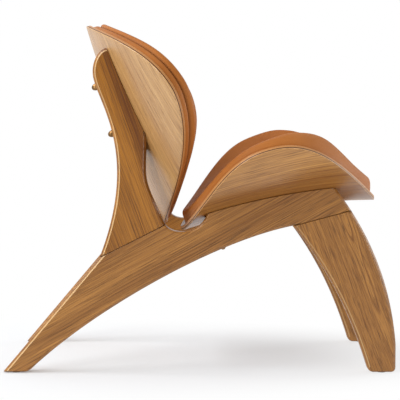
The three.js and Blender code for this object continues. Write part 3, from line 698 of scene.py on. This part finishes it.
def contact(form, low, high, y, count):
    """The shell's outer face between two points of the side plane, ends left out."""
    ends = [(np.array(p) - form.start[[0, 2]]) @ form.along[[0, 2]] for p in (low, high)]
    return form.side_point(np.linspace(ends[0], ends[1], count + 2)[1:-1], y)


# Rounds on the edge along a foot's corner, from the leg to the sole
TO_SOLE = np.linspace(EDGE_ROUND, SOLE_ROUND, CORNER_STEPS)
HEEL = (HEEL_X, FLOOR_GAP)
TOE = (TOE_X, FLOOR_GAP)
REAR_FOOT_INSIDE = (HEEL_X + REAR_FOOT, FLOOR_GAP)
FRONT_FOOT_INSIDE = (TOE_X - FRONT_FOOT, FLOOR_GAP)
LEG_JOINT = (FRONT_CROTCH, LEG_JOINT_FRONT)
RAIL_RISE = np.array(RAIL_FRONT_TOP) - np.array(RAIL_REAR_TOP)
RAIL_LIFT = np.array((-RAIL_RISE[1], RAIL_RISE[0])) * SCRIBE_ALLOWANCE / np.hypot(*RAIL_RISE)
LEG_FRONT = np.vstack([bezier(SHIN, LEG_FRONT_PULL, RAIL_FRONT_TOP, 4 * FINE), [RAIL_FRONT_TOP]])
LEG_JOINT_END = cut_path(LEG_FRONT, beyond(LEG_JOINT, LEG_FRONT))[-1]


def leg_outline(_y):
    """Runs of the front leg's outline, each with the round on its edge."""
    foot_rear = towards(FRONT_FOOT_INSIDE, LEG_REAR_PULL[1], FOOT_ROUND)
    sole_rear = (FRONT_FOOT_INSIDE[0] + FOOT_ROUND, FLOOR_GAP)
    sole_front = (TOE_X - FOOT_ROUND, FLOOR_GAP)
    foot_front = (TOE_X, FLOOR_GAP + FOOT_ROUND)
    below = cut_path(LEG_FRONT, beyond(LEG_JOINT, LEG_FRONT))
    return [
        (bezier(FRONT_CROTCH, LEG_REAR_PULL, foot_rear, FINE), EDGE_ROUND),
        (corner(foot_rear, FRONT_FOOT_INSIDE, sole_rear, CORNER_STEPS), TO_SOLE),
        (np.array([sole_rear]), SOLE_ROUND),
        (corner(sole_front, TOE, foot_front, CORNER_STEPS), TO_SOLE[::-1]),
        (np.array([foot_front]), EDGE_ROUND),
        (evenly(below, FINE)[:-1], EDGE_ROUND),
        (joint_line(LEG_JOINT_END, FRONT_CROTCH), JOINT_ROUND),
    ]


def rail_outline(y):
    """Runs of the rail and rear leg's outline at y, each with the round on its edge."""
    foot_front = towards(REAR_FOOT_INSIDE, ARCH_PULL[0], FOOT_ROUND)
    sole_front = (REAR_FOOT_INSIDE[0] - FOOT_ROUND, FLOOR_GAP)
    above = LEG_FRONT[beyond(LEG_JOINT, LEG_FRONT) > 0]
    rise = np.vstack([[LEG_JOINT_END], above, [np.array(RAIL_FRONT_TOP) + RAIL_LIFT]])
    rise = evenly(rise, 4 * FINE)
    rise = cut_path(rise, SEAT.height_over(rise, y))
    notch = bezier(NOTCH_CORNER, NOTCH_PULL[::-1], RAIL_REAR_TOP, 4 * FINE)
    fall = np.vstack([notch, [RAIL_REAR_TOP], [np.array(RAIL_REAR_TOP) + RAIL_LIFT * (-1, 1)]])
    fall = evenly(fall, 6 * FINE)
    fall = cut_path(fall, SEAT.height_over(fall, y))
    return [
        (np.array([HEEL, (HEEL_X + SOLE_STEP, FLOOR_GAP)]), SOLE_ROUND),
        (corner(sole_front, REAR_FOOT_INSIDE, foot_front, CORNER_STEPS), TO_SOLE[::-1]),
        (bezier(foot_front, ARCH_PULL, FRONT_CROTCH, FINE), EDGE_ROUND),
        (joint_line(FRONT_CROTCH, LEG_JOINT_END), JOINT_ROUND),
        (evenly(rise, FINE)[:-1], EDGE_ROUND),
        (rise[-1:], JOINT_ROUND),
        (contact(SEAT, rise[-1], fall[-1], y, FINE), JOINT_ROUND),
        (evenly(fall, FINE)[::-1][:-1], NOTCH_ROUND),
        (joint_line(NOTCH_CORNER, REAR_CROTCH), JOINT_ROUND),
        (np.array([REAR_CROTCH, towards(HEEL, REAR_CROTCH, SOLE_STEP)]), EDGE_ROUND),
    ]


def post_outline(y):
    """Runs of the back post's outline at y, each with the round on its edge."""
    inside_top = (POST_CONTACT_LOW[0], POST_TOP[1])
    front = bezier(NOTCH_CORNER, POST_FRONT_PULL, POST_CONTACT_LOW, 4 * FINE)
    front = evenly(np.vstack([front, [POST_CONTACT_LOW], [inside_top]]), 6 * FINE)
    front = cut_path(front, BACK.height_over(front, y))
    top = bezier(POST_SHOULDER, POST_TOP_PULL[::-1], POST_TOP, 4 * FINE)
    top = evenly(np.vstack([top, [POST_TOP], [inside_top]]), 6 * FINE)
    top = cut_path(top, BACK.height_over(top, y))
    return [
        (joint_line(REAR_CROTCH, NOTCH_CORNER), JOINT_ROUND),
        (evenly(front, FINE)[:-1], EDGE_ROUND),
        (front[-1:], JOINT_ROUND),
        (contact(BACK, front[-1], top[-1], y, FINE), JOINT_ROUND),
        (evenly(top, FINE)[::-1][:-1], EDGE_ROUND),
        (bezier(POST_SHOULDER, POST_REAR_PULL, REAR_CROTCH, FINE), EDGE_ROUND),
    ]


def inset_outline(points, insets):
    """Each edge moved inwards by its own inset. An edge runs from its point to the next."""
    run = np.roll(points, -1, axis=0) - points
    run /= np.hypot(*run.T)[:, None]
    inward = np.stack([-run[:, 1], run[:, 0]], axis=1)
    before, after = np.roll(inward, 1, axis=0), inward
    d_before, d_after = np.roll(insets, 1), insets
    cross = before[:, 0] * after[:, 1] - before[:, 1] * after[:, 0]
    mitre = np.stack([d_before * after[:, 1] - d_after * before[:, 1],
                      d_after * before[:, 0] - d_before * after[:, 0]], axis=1)
    middle = before + after
    middle *= ((d_before + d_after) / np.einsum("ij,ij->i", middle, middle))[:, None]
    sharp = np.abs(cross) > SHARP_TURN
    safe = np.where(sharp, cross, 1.0)
    return points + np.where(sharp[:, None], mitre / safe[:, None], middle)


def add_board(name, outline_at, grain_line, wood, sign):
    """A board of a side frame, with rounded edges and the shell's shape scribed into it."""
    near, far = sorted((sign * FRAME_INNER_Y, sign * FRAME_OUTER_Y))
    rings, painted_highlights, joints_and_shades = [], [], []

    def add_ring(y, inset, back, painted_highlight, direction):
        runs = outline_at(abs(y))
        rounds = np.concatenate([np.broadcast_to(size, len(run)) for run, size in runs])
        widest = np.maximum(rounds, np.roll(rounds, 1))
        depth = y + direction * widest * back
        # The shell is curved across the board, so each point is scribed at its own depth
        outline = np.empty((len(rounds), 2))
        for level in np.unique(depth):
            scribed = np.vstack([run for run, _ in outline_at(abs(level))])
            outline[depth == level] = scribed[depth == level]
        flat = inset_outline(outline, rounds * inset)
        rings.append(np.stack([flat[:, 0], depth, flat[:, 1]], axis=1))
        # Painted highlight on the rounded edges that face the lamps
        run = np.roll(outline, -1, axis=0) - outline
        facing = (run[:, 1] * HIGHLIGHT_SIDE[0] - run[:, 0] * HIGHLIGHT_SIDE[1]) / np.hypot(*run.T)
        painted_highlights.append(painted_highlight * (rounds == EDGE_ROUND) * np.clip(facing, 0, 1))
        # Dark joint lines between boards; the edges against the shells and the soles on the floor get painted
        # shade
        joints_and_shades.append((rounds <= SOLE_ROUND) * (inset < 1.0))

    for section in EDGE_SECTION:
        add_ring(near, *section, 1)
    for y in np.linspace(near + EDGE_ROUND, far - EDGE_ROUND, RIM_STEPS)[1:-1]:
        add_ring(y, 0.0, 0.0, 0.0, 0)
    for section in EDGE_SECTION[::-1]:
        add_ring(far, *section, -1)
    points, faces = closed_loft(rings)
    piece = add_mesh(name, points, faces, [wood])
    point_outwards(piece)
    even_normals(piece)
    grain_from, grain_to = (np.array(end, float) for end in grain_line)
    axis = (grain_to - grain_from) / np.hypot(*(grain_to - grain_from))
    side = points[:, [0, 2]] - grain_from
    along = side @ axis
    across = side @ np.array((-axis[1], axis[0]))
    set_numbers(piece, "painted_highlight", np.concatenate(painted_highlights))
    set_numbers(piece, "joint_and_shade", np.concatenate(joints_and_shades))
    *shift, slope = GRAIN_SHIFT[name]
    set_vectors(piece, "grain", np.stack([along, across, points[:, 1] + slope * along], axis=1) + shift)
    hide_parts(name.replace("_board", ""))


def add_side_frames():
    for side, sign in (("left", 1), ("right", -1)):
        add_board(f"seat_rail_{side}_board", rail_outline, RAIL_GRAIN, FRAME_WOOD, sign)
        add_board(f"back_post_{side}_board", post_outline, POST_GRAIN, POST_WOOD, sign)
        add_board(f"front_leg_{side}_board", leg_outline, LEG_GRAIN, LEG_WOOD, sign)


# Shells

def add_shell(name, form, veneer):
    """A moulded sheet with rounded edges, whose faces have the veneer and whose edge shows the plies."""
    turns = np.radians(np.linspace(0, 90, PLY_ROUND_STEPS))
    plan = form.plan(SHELL_SIDES, 0, 0, 0)
    shares = np.linspace(0, 1, SHELL_RINGS)[1:-1]
    straight = PLY - 2 * PLY_ROUND
    rings = [(share, PLY_ROUND, 0.0) for share in shares]
    rings += [(1, PLY_ROUND * (1 - math.sin(t)), PLY_ROUND * (1 - math.cos(t))) for t in turns]
    rings += [(1, 0.0, PLY_ROUND + straight * k / PLY_EDGE_STEPS) for k in range(1, PLY_EDGE_STEPS)]
    rings += [(1, PLY_ROUND * (1 - math.cos(t)), PLY - PLY_ROUND * (1 - math.sin(t))) for t in turns]
    rings += [(share, PLY_ROUND, PLY) for share in shares[::-1]]
    places = [form.ring(plan, *ring) for ring in rings]
    poles = [form.point(form.widest, 0.0, h)[None] for h in (0.0, PLY)]
    points = np.vstack([poles[0], *places, poles[1]])
    faces = pole_faces(len(rings), SHELL_SIDES)
    piece = add_mesh(f"{name}_ply", points, faces, [veneer, PLY_EDGE])
    point_outwards(piece)
    layers = np.concatenate([[0.0], np.repeat([ring[2] / PLY for ring in rings], SHELL_SIDES), [1.0]])
    set_numbers(piece, "layer", layers)
    offset = points - form.start
    along = offset @ form.along
    across = np.arctan2(points[:, 1], form.half_width) * form.half_width * VENEER_STRETCH
    log = [along, across + VENEER_ACROSS, layers * PLY + VENEER_THROUGH]
    set_vectors(piece, "grain", np.stack(log, axis=1))
    margin = PLY_ROUND / PLY * 0.5
    on_edge = [all(margin < layers[k] < 1 - margin for k in face.vertices) for face in piece.data.polygons]
    piece.data.polygons.foreach_set("material_index", np.array(on_edge, int))
    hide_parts(name)


# Pads

def pad_depth(form, depths, s):
    """Thickness at s, on a smooth curve through the steps along the chord."""
    last = len(depths) - 1
    place = np.clip(s / form.chord, 0, 1) * last
    step = np.clip(np.floor(place).astype(int), 0, last - 1)
    before, start, end, after = (np.array(depths)[np.clip(step + k, 0, last)] for k in (-1, 0, 1, 2))
    u = place - step
    rise, leave, arrive = end - start, (end - before) / 2, (after - start) / 2
    return start + u * (leave + u * (3 * rise - 2 * leave - arrive + u * (leave + arrive - 2 * rise)))


def pad_ring(form, plan, share, inset, height_at):
    """One ring of a pad. The height over the underside depends on the place along the chord."""
    scale = share * (1 - inset / np.hypot(*plan))
    s = form.widest + plan[0] * scale
    return form.point(s, plan[1] * scale, PLY + PAD_REST_GAP + height_at(s))


def pad_rings(form, plan, depth_at, crown, band):
    """Rings from the middle of the face over the rolled edge, the crease and the band to the underside.

    Each comes with its hold, from 0 where the leather is free to 1 where it is fixed, and with the shade of
    the crease at its points.
    """
    base, crease = band
    shade = crease / BACK_BAND[1]
    fade = np.clip(CREASE_FADE[0] + (form.widest + plan[0]) / CREASE_FADE[1], 0, 1)
    shares = np.linspace(0, 1, PAD_RINGS)[1:-1]
    rings = []

    def add(share, inset, height_at, hold, joint_and_shade=0.0):
        rings.append((pad_ring(form, plan, share, inset, height_at), hold, joint_and_shade * fade))

    def base_at(s):
        return np.minimum(base, BAND_SHARE * depth_at(s))

    def cushion_at(level):
        return lambda s: base_at(s) + (depth_at(s) - base_at(s)) * level

    for t in shares:
        add(t, PAD_ROLL, lambda s: depth_at(s) + crown * (1 - t**2), RIM_HOLD * t**RIM_HOLD_POWER)
    for angle in np.radians(np.linspace(90, -90, ROLL_STEPS)):
        reach = PAD_ROLL if angle > 0 else crease * fade
        level = (1 + math.sin(angle)) / 2
        hold = RIM_HOLD + (1 - RIM_HOLD) * min(1, 2 - 2 * level)
        # Painted shade on the rings that go down into the crease
        joint_and_shade = shade * max(0.0, -2 * math.sin(angle) - 1)
        add(1, reach * (1 - math.cos(angle)), cushion_at(level), hold, joint_and_shade)
    for angle in np.radians(np.linspace(90, -90, BAND_STEPS))[1:]:
        reach = crease * fade if angle > 0 else BAND_UNDERCUT
        level = (1 + math.sin(angle)) / 2
        # Painted shade on the band's rings next to the crease
        joint_and_shade = shade * max(0.0, 2 * math.sin(angle) - 1)
        add(1, reach * (1 - math.sqrt(math.cos(angle))), lambda s: base_at(s) * level, 1.0, joint_and_shade)
    for t in shares[::-2]:
        add(t, PAD_ROLL, np.zeros_like, 1.0)
    return zip(*rings)


def swell(piece, holds):
    """Blows the cover up with a cloth simulation, and keeps the result as the piece's own points."""
    scene = bpy.context.scene
    held = piece.vertex_groups.new(name="held")
    for index, hold in enumerate(holds):
        held.add([index], hold, "REPLACE")
    cloth = piece.modifiers.new("swell", "CLOTH")
    cloth.settings.vertex_group_mass = held.name
    cloth.settings.use_pressure = True
    cloth.settings.uniform_pressure_force = PAD_PRESSURE
    cloth.settings.effector_weights.gravity = 0.0
    cloth.collision_settings.use_collision = False
    cloth.point_cache.frame_start = 1
    cloth.point_cache.frame_end = SWELL_FRAMES
    for step in range(1, SWELL_FRAMES + 1):
        scene.frame_set(step)
    blown = piece.evaluated_get(bpy.context.evaluated_depsgraph_get())
    after = np.array([v.co for v in blown.data.vertices])
    before = np.array([v.co for v in piece.data.vertices])
    move = after - before
    length = np.maximum(np.linalg.norm(move, axis=1, keepdims=True), 1e-9)
    after = before + move / length * PAD_SWELL * np.tanh(length / PAD_SWELL)
    piece.modifiers.remove(cloth)
    piece.vertex_groups.clear()
    piece.data.vertices.foreach_set("co", after.ravel())
    piece.data.update()
    scene.frame_set(1)


def add_pad(name, form, depths, band, insets, taper=None):
    """A pad that follows its shell, with its cover blown up."""
    crown = PAD_CROWN - PAD_SLACK

    def depth_at(s):
        depth = pad_depth(form, depths, s)
        return depth * (1 - np.exp(-np.maximum(s, 0) / taper)) if taper else depth

    plan = form.plan(PAD_SIDES, *insets, PAD_SIDE_INSET)
    rings, holds, joints_and_shades = pad_rings(form, plan, depth_at, crown, band)
    top = PLY + PAD_REST_GAP + depth_at(form.widest) + crown
    poles = [form.point(form.widest, 0.0, h)[None] for h in (top, PLY + PAD_REST_GAP)]
    points = np.vstack([poles[0], *rings, poles[1]])
    piece = add_mesh(f"{name}_pad", points, pole_faces(len(rings), PAD_SIDES), [LEATHER])
    point_outwards(piece)
    set_numbers(piece, "joint_and_shade", np.concatenate([[0.0], *joints_and_shades, [0.0]]))
    swell(piece, np.concatenate([[0.0], np.repeat(holds, PAD_SIDES), [1.0]]))
    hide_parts(f"{name}_pad_cover", f"{name}_pad_foam", f"{name}_pad_board")


# Cross rails

def add_cross_rail(name, section_at):
    """A bar between the side frames, whose section may change across the chair."""
    span = FRAME_INNER_Y - SHELL_GAP
    stations = np.linspace(-span, span, RAIL_STATIONS)
    points, faces = closed_loft([np.insert(section_at(y), 1, y, axis=1) for y in stations])
    piece = add_mesh(f"{name}_bar", points, faces, [FRAME_WOOD])
    point_outwards(piece)
    even_normals(piece)
    log = [points[:, 1], points[:, 0] + RAIL_GRAIN_SHIFT[0], points[:, 2] + RAIL_GRAIN_SHIFT[1]]
    set_vectors(piece, "grain", np.stack(log, axis=1))
    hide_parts(name)


def rounded_section(low, top_left, top_right, top_round):
    """Section of a bar as offsets across and up, with the top's height given at each side."""
    half = RAIL_THICKNESS / 2
    corners = [
        ((-half, low + RAIL_ROUND), (-half, low), (-half + RAIL_ROUND, low)),
        ((half - RAIL_ROUND, low), (half, low), (half, low + RAIL_ROUND)),
        ((half, top_right - top_round), (half, top_right), (half - top_round, top_right)),
        ((-half + top_round, top_left), (-half, top_left), (-half, top_left - top_round)),
    ]
    return np.vstack([corner(*places, RAIL_ROUND_STEPS) for places in corners])


def front_rail_section(y):
    """The front rail is square to the seat's chord, and its top follows the shell."""
    half = RAIL_THICKNESS / 2
    tops = [SEAT.lift(FRONT_RAIL_FROM_REAR + side * half, y) - SHELL_GAP for side in (-1, 1)]
    low = SEAT.lift(FRONT_RAIL_FROM_REAR, 0.0) - FRONT_RAIL_HEIGHT
    section = rounded_section(low, tops[0], tops[1], JOINT_ROUND)
    axes = np.stack([SEAT.along[[0, 2]], SEAT.out[[0, 2]]])
    return SEAT.start[[0, 2]] + SEAT.along[[0, 2]] * FRONT_RAIL_FROM_REAR + section @ axes


def rear_rail_section(_y):
    high = REAR_RAIL_LOW_Z + REAR_RAIL_HEIGHT
    return rounded_section(REAR_RAIL_LOW_Z, high, high, RAIL_ROUND) + (REAR_RAIL_X, 0.0)


# Bolts and glides

def add_turned(name, node, profile, axis, tip, material):
    """A turned piece. The profile holds (radius, distance back from the tip)."""
    turn = 2 * np.pi * np.arange(TURNED_SIDES) / TURNED_SIDES
    axis = np.array(axis, float) / np.linalg.norm(axis)
    right = np.cross(axis, (0.0, 1.0, 0.0))
    right /= np.linalg.norm(right)
    up = np.cross(axis, right)
    circle = np.cos(turn)[:, None] * right + np.sin(turn)[:, None] * up
    rings = [tip - axis * back + circle * radius for radius, back in profile[1:-1]]
    ends = [(tip - axis * back)[None] for back in (profile[0][1], profile[-1][1])]
    points = np.vstack([ends[0], *rings, ends[1]])
    piece = add_mesh(name, points, pole_faces(len(rings), TURNED_SIDES), [material])
    point_outwards(piece)
    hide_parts(node)


def add_bolt(node, form, s):
    """Dome-headed bolt on the axis of its solid, which is square to the shell."""
    points = np.array([v.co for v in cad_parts[node].data.vertices])
    middle = np.unique(points.round(6), axis=0).mean(axis=0)
    lengthwise = form.slopes(s, middle[1])[0]
    outward = form.along * lengthwise - form.out
    outward /= np.linalg.norm(outward)
    reach = points @ outward
    tip = middle + outward * (reach.max() - middle @ outward)
    dome = [(HEAD_RADIUS * math.sin(t), (HEAD_HEIGHT - COLLAR) * (1 - math.cos(t)))
            for t in np.linspace(0, math.pi / 2, DOME_STEPS)]
    collar = [(HEAD_RADIUS, HEAD_HEIGHT - COLLAR + COLLAR_LINE),
              (HEAD_RADIUS, HEAD_HEIGHT - COLLAR_CHAMFER[1]),
              (HEAD_RADIUS - COLLAR_CHAMFER[0], HEAD_HEIGHT), (SHANK_RADIUS, HEAD_HEIGHT)]
    shank = [(SHANK_RADIUS, reach.max() - reach.min()), (0.0, reach.max() - reach.min())]
    add_turned(f"{node}_turned", node, dome + collar + shank, outward, tip, BRASS)


def add_glide(node):
    """Disc with a nail, as large as its solid."""
    low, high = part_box(node)
    tip = np.array(((low.x + high.x) / 2, (low.y + high.y) / 2, low.z))
    radius = (high.x - low.x) / 2
    length = high.z - low.z
    disc = [(0.0, 0.0), (radius - GLIDE_CHAMFER[0], 0.0), (radius, GLIDE_CHAMFER[1]),
            (radius, GLIDE_THICKNESS)]
    nail = [(NAIL_RADIUS, GLIDE_THICKNESS), (NAIL_RADIUS, length), (0.0, length)]
    add_turned(f"{node}_disc", node, disc + nail, (0, 0, -1), tip, GLIDE)


def add_fasteners():
    for side in ("left", "right"):
        add_bolt(f"back_lower_{side}_bolt", BACK, BACK_LOWER_BOLT)
        add_bolt(f"back_upper_{side}_bolt", BACK, BACK_UPPER_BOLT)
        add_bolt(f"seat_rear_{side}_bolt", SEAT, SEAT_REAR_BOLT)
        add_bolt(f"seat_front_{side}_bolt", SEAT, SEAT_FRONT_BOLT)
        for end in ("rear", "front"):
            add_glide(f"{end}_glide_{side}")


def dress_hidden_nodes():
    """Pieces shut in the wood keep their solids, with a finish of their own."""
    for name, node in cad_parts.items():
        material = DOWEL if "dowel" in name else BRASS if "insert" in name else None
        if material:
            node.data.materials.clear()
            node.data.materials.append(material)


# Studio

def add_camera():
    camera = bpy.data.cameras.new("camera")
    camera.sensor_width = SENSOR_WIDTH
    camera.lens = SENSOR_WIDTH * FOCAL_LENGTH / PICTURE_WIDTH
    camera.clip_end = CLIP_END
    holder = bpy.data.objects.new("camera", camera)
    holder.location = CAMERA_PLACE
    holder.rotation_euler = (math.radians(90 - CAMERA_DIP), 0.0, math.radians(CAMERA_TURN))
    bpy.context.scene.collection.objects.link(holder)
    bpy.context.scene.camera = holder


def add_light(name, place, target, size, power):
    light = bpy.data.lights.new(name, "AREA")
    light.shape = "RECTANGLE"
    light.size, light.size_y = size
    light.energy = power
    holder = bpy.data.objects.new(name, light)
    holder.location = place
    holder.rotation_euler = (Vector(target) - Vector(place)).to_track_quat("-Z", "Y").to_euler()
    bpy.context.scene.collection.objects.link(holder)


def add_world():
    """White all round where it is seen, and dimmer in front of the chair's side for what it lights."""
    world = bpy.data.worlds.new("studio")
    world.use_nodes = True
    nodes = Nodes(world.node_tree)
    across = nodes.split(nodes.add("TexCoord").outputs["Generated"])["Y"]
    level = nodes.span(across, *WORLD_CHANGE, WORLD_FRONT, WORLD_BEHIND, "SMOOTHSTEP")
    seen = nodes.add("LightPath").outputs["Is Camera Ray"]
    strength = nodes.add("Mix", {"Factor": seen, "A": level, "B": 1.0}).outputs["Result"]
    background = world.node_tree.nodes["Background"]
    background.inputs["Color"].default_value = (1.0, 1.0, 1.0, 1.0)
    nodes.feed(background.inputs["Strength"], strength)
    bpy.context.scene.world = world


def floor_material():
    """Paint that keeps the shadow under the chair, and fades to plain white around it."""
    material = bpy.data.materials.new("studio_floor")
    material.use_nodes = True
    material.node_tree.nodes.clear()
    nodes = Nodes(material.node_tree)
    path = nodes.add("LightPath").outputs
    seen = nodes.math("MAXIMUM", path["Is Camera Ray"], path["Is Glossy Ray"])
    white = nodes.add("Emission", {"Strength": nodes.span(seen, 0.0, 1.0, FLOOR_GLOW)}).outputs[0]
    paint = nodes.add("BsdfDiffuse", {"Color": FLOOR_PAINT}).outputs[0]
    oval = nodes.stretch(nodes.add("NewGeometry").outputs["Position"], FADE_STRETCH, FADE_SHIFT)
    away = nodes.add("VectorMath", {0: oval}, operation="LENGTH").outputs["Value"]
    fade = nodes.span(away, *FADE_RADII, *FADE_WHITE, "SMOOTHSTEP")
    blend = nodes.add("MixShader", {"Fac": fade, 1: paint, 2: white}).outputs[0]
    nodes.add("OutputMaterial", {"Surface": blend})
    return material


def add_floor():
    mesh = bpy.data.meshes.new("floor")
    corners = [(x * FLOOR_REACH, y * FLOOR_REACH, 0) for x, y in ((-1, -1), (1, -1), (1, 1), (-1, 1))]
    mesh.from_pydata(corners, [], [(0, 1, 2, 3)])
    mesh.materials.append(floor_material())
    floor = bpy.data.objects.new("floor", mesh)
    bpy.context.scene.collection.objects.link(floor)


add_camera()
add_side_frames()
add_shell("seat_shell", SEAT, SEAT_VENEER_PAINTED_SHADE)
add_shell("back_shell", BACK, BACK_VENEER_PAINTED_SHEEN)
add_pad("seat", SEAT, SEAT_PAD_DEPTHS, SEAT_BAND, SEAT_PAD_INSETS)
add_pad("back", BACK, BACK_PAD_DEPTHS, BACK_BAND, BACK_PAD_INSETS, BACK_PAD_TAPER)
add_cross_rail("front_cross_rail", front_rail_section)
add_cross_rail("rear_cross_rail", rear_rail_section)
add_fasteners()
dress_hidden_nodes()
for light_settings in LIGHTS:
    add_light(*light_settings)
add_world()
add_floor()
bpy.context.scene.view_settings.view_transform = "Standard"
